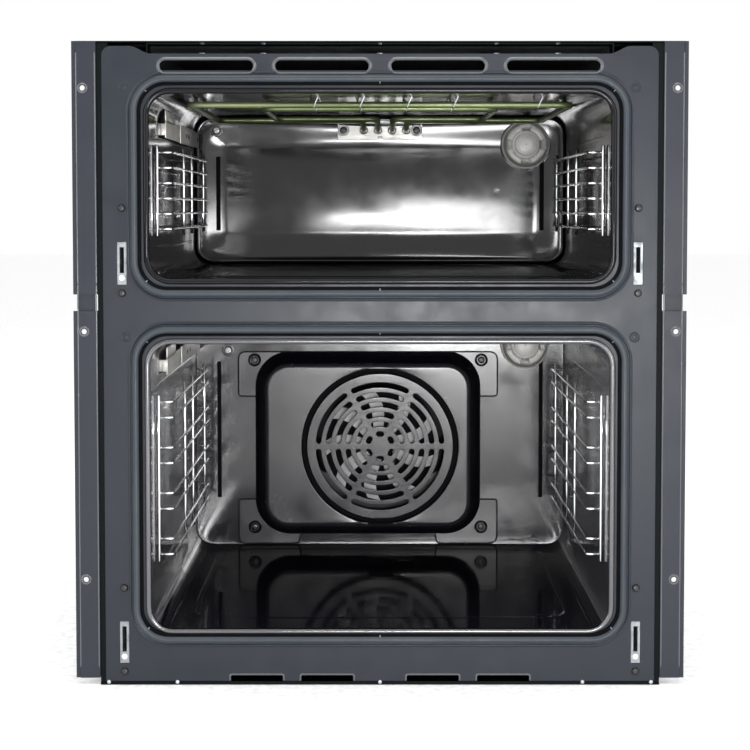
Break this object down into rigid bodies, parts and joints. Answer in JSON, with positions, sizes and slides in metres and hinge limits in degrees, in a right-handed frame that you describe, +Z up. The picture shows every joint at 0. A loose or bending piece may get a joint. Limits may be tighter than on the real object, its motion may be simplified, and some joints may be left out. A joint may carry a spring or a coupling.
{
  "type": "wall oven",
  "caption": "Built-in double wall oven body with its doors lifted off: painted front frame, two enamelled cavities with wire racks, grill tubes, fan cover and glass-capped lamps.",
  "frame": {"origin": "bottom centre of the bounding box, on the floor under the middle of the oven", "axes": "+Z up; the open front faces -Y; +X to the right as seen from the front"},
  "size_m": [0.594, 0.55, 0.626],
  "materials": {
    "frame_paint": "satin dark grey powder coat",
    "casing_sheet": "galvanised sheet, dull",
    "seal_silicone": "satin blue-grey silicone",
    "cavity_enamel": "gloss black vitreous enamel",
    "rack_chrome": "bright chrome wire",
    "hinge_zinc": "bright zinc plate",
    "inner_steel": "satin stainless sheet",
    "dark_screw": "blackened steel",
    "element_tube": "olive oxidised tube sheath",
    "lamp_glass": "pressed clear-grey heat-proof glass",
    "lamp_ceramic": "off-white ceramic",
    "mineral_fleece": "mineral wool",
    "motor_steel": "motor can, satin",
    "terminal_plastic": "black moulding"
  },
  "bodies": {
    "chassis": {"base_element": "element_tube", "base_panel": "casing_sheet", "convection_fan_motor": "motor_steel", "cooling_air_duct": "casing_sheet", "cooling_fan_motor": "motor_steel", "fan_cover": "cavity_enamel", "fan_cover_screw_left_bottom": "dark_screw", "fan_cover_screw_left_top": "dark_screw", "fan_cover_screw_right_bottom": "dark_screw", "fan_cover_screw_right_top": "dark_screw", "front_frame": "frame_paint", "grill_element_inner": "element_tube", "grill_element_outer": "element_tube", "grill_terminal_plate": "inner_steel", "grill_terminal_screw_left": "dark_screw", "grill_terminal_screw_right": "dark_screw", "lower_cavity": "cavity_enamel", "lower_door_seal": "seal_silicone", "lower_hinge_receiver_left": "hinge_zinc", "lower_hinge_receiver_right": "hinge_zinc", "lower_insulation": "mineral_fleece", "lower_lamp_bulb": "lamp_glass", "lower_lamp_holder": "lamp_ceramic", "lower_left_receiver_screw_bottom": "dark_screw", "lower_left_receiver_screw_top": "dark_screw", "lower_right_receiver_screw_bottom": "dark_screw", "lower_right_receiver_screw_top": "dark_screw", "lower_sensor_guard": "inner_steel", "lower_trim_left": "frame_paint", "lower_trim_right": "frame_paint", "mains_terminal_block": "terminal_plastic", "rear_panel": "casing_sheet", "ring_element": "element_tube", "side_panel_left": "casing_sheet", "side_panel_right": "casing_sheet", "top_panel": "casing_sheet", "upper_cavity": "cavity_enamel", "upper_door_seal": "seal_silicone", "upper_hinge_receiver_left": "hinge_zinc", "upper_hinge_receiver_right": "hinge_zinc", "upper_insulation": "mineral_fleece", "upper_lamp_bulb": "lamp_glass", "upper_lamp_holder": "lamp_ceramic", "upper_left_receiver_screw_bottom": "dark_screw", "upper_left_receiver_screw_top": "dark_screw", "upper_right_receiver_screw_bottom": "dark_screw", "upper_right_receiver_screw_top": "dark_screw", "upper_sensor_guard": "inner_steel", "upper_trim_left": "frame_paint", "upper_trim_right": "frame_paint"},
    "convection_fan": {"convection_fan": "inner_steel"},
    "cooling_fan": {"cooling_fan": "inner_steel"},
    "upper_lamp_cap": {"upper_lamp_cover": "lamp_glass"},
    "upper_left_rack": {"upper_rack_left": "rack_chrome"},
    "upper_right_rack": {"upper_rack_right": "rack_chrome"},
    "lower_lamp_cap": {"lower_lamp_cover": "lamp_glass"},
    "lower_left_rack": {"lower_rack_left": "rack_chrome"},
    "lower_right_rack": {"lower_rack_right": "rack_chrome"}
  },
  "joints": [
    {"name": "convection_fan_spin", "type": "hinge", "parent": "chassis", "child": "convection_fan", "pos_m": [0, 0.1238, 0.1795], "axis": [0, 1, 0], "continuous": true},
    {"name": "cooling_fan_spin", "type": "hinge", "parent": "chassis", "child": "cooling_fan", "pos_m": [0, 0.2138, 0.5935], "axis": [0, 0, 1], "continuous": true},
    {"name": "upper_lamp_cap_turn", "type": "hinge", "parent": "chassis", "child": "upper_lamp_cap", "pos_m": [0.175, 0.1341, 0.5411], "axis": [0, -1, 0], "range_deg": [0, 90]},
    {"name": "lower_lamp_cap_turn", "type": "hinge", "parent": "chassis", "child": "lower_lamp_cap", "pos_m": [0.175, 0.1341, 0.3], "axis": [0, -1, 0], "range_deg": [0, 90]},
    {"name": "upper_left_rack_tilt", "type": "hinge", "parent": "chassis", "child": "upper_left_rack", "pos_m": [-0.2204, -0.227, 0.527], "axis": [0, -1, 0], "range_deg": [0, 30]},
    {"name": "upper_right_rack_tilt", "type": "hinge", "parent": "chassis", "child": "upper_right_rack", "pos_m": [0.2204, -0.227, 0.527], "axis": [0, 1, 0], "range_deg": [0, 30]},
    {"name": "lower_left_rack_tilt", "type": "hinge", "parent": "chassis", "child": "lower_left_rack", "pos_m": [-0.2204, -0.227, 0.2793], "axis": [0, -1, 0], "range_deg": [0, 30]},
    {"name": "lower_right_rack_tilt", "type": "hinge", "parent": "chassis", "child": "lower_right_rack", "pos_m": [0.2204, -0.227, 0.2793], "axis": [0, 1, 0], "range_deg": [0, 30]}
  ]
}
